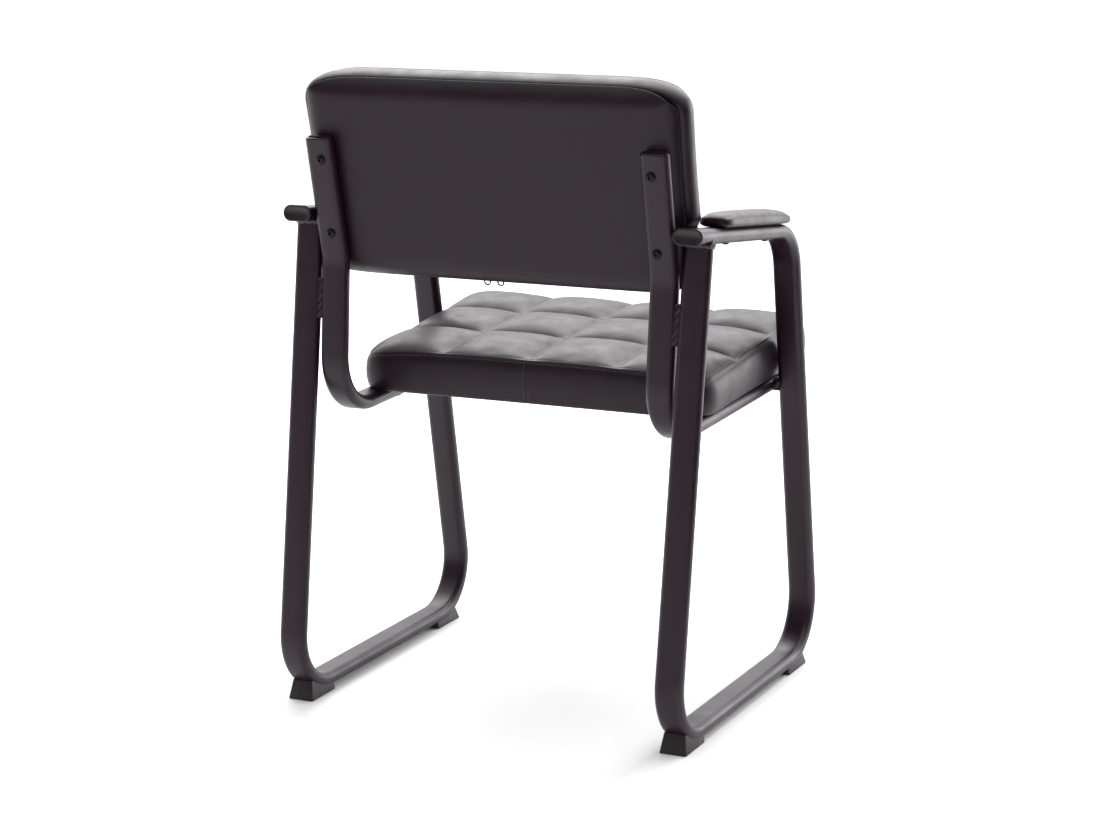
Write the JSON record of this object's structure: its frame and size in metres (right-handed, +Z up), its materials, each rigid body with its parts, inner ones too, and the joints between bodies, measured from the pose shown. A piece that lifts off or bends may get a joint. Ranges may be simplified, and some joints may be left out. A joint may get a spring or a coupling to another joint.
{
  "type": "sled base visitor chair",
  "caption": "Visitor chair on two closed side loops of flat oval steel tube, with padded arms, a quilted seat and a padded back.",
  "frame": {"origin": "on the floor under the middle of the chair's box", "axes": "+Z up, the sitter faces -Y, +X is the sitter's left"},
  "size_m": [0.5936, 0.5726, 0.8366],
  "materials": {
    "frame": "satin black powder coat on steel tube",
    "caps": "moulded black plastic",
    "glides": "moulded black plastic, fine texture",
    "covers": "black coated leather look, soft sheen",
    "boards": "plain plywood, unfinished",
    "lining": "black non-woven lining",
    "screws": "black oxide steel",
    "zinc": "bright zinc plated steel"
  },
  "bodies": {
    "root": {"left_side_loop": "frame", "left_seat_back_rail": "frame", "left_rear_weld_block": "frame", "left_front_weld_block": "frame", "left_arm_end_cap": "caps", "left_rail_top_cap": "caps", "left_rail_front_cap": "caps", "left_rear_glide": "glides", "left_front_glide": "glides", "left_arm_pad": "covers", "left_arm_pad_board": "boards", "left_rear_arm_pad_screw": "screws", "left_rear_seat_bolt": "screws", "left_rear_seat_tee_nut": "zinc", "left_rear_seat_spacer": "zinc", "left_front_arm_pad_screw": "screws", "left_front_seat_bolt": "screws", "left_front_seat_tee_nut": "zinc", "left_front_seat_spacer": "zinc", "left_upper_back_screw": "screws", "left_upper_back_tee_nut": "zinc", "left_lower_back_screw": "screws", "left_lower_back_tee_nut": "zinc", "right_side_loop": "frame", "right_seat_back_rail": "frame", "right_rear_weld_block": "frame", "right_front_weld_block": "frame", "right_arm_end_cap": "caps", "right_rail_top_cap": "caps", "right_rail_front_cap": "caps", "right_rear_glide": "glides", "right_front_glide": "glides", "right_arm_pad": "covers", "right_arm_pad_board": "boards", "right_rear_arm_pad_screw": "screws", "right_rear_seat_bolt": "screws", "right_rear_seat_tee_nut": "zinc", "right_rear_seat_spacer": "zinc", "right_front_arm_pad_screw": "screws", "right_front_seat_bolt": "screws", "right_front_seat_tee_nut": "zinc", "right_front_seat_spacer": "zinc", "right_upper_back_screw": "screws", "right_upper_back_tee_nut": "zinc", "right_lower_back_screw": "screws", "right_lower_back_tee_nut": "zinc", "seat_cushion": "covers", "seat_board": "boards", "seat_dust_cover": "lining", "back_cushion": "covers", "back_rear_panel": "covers", "back_board": "boards", "cover_staple_1": "zinc", "cover_staple_2": "zinc"}
  },
  "joints": []
}
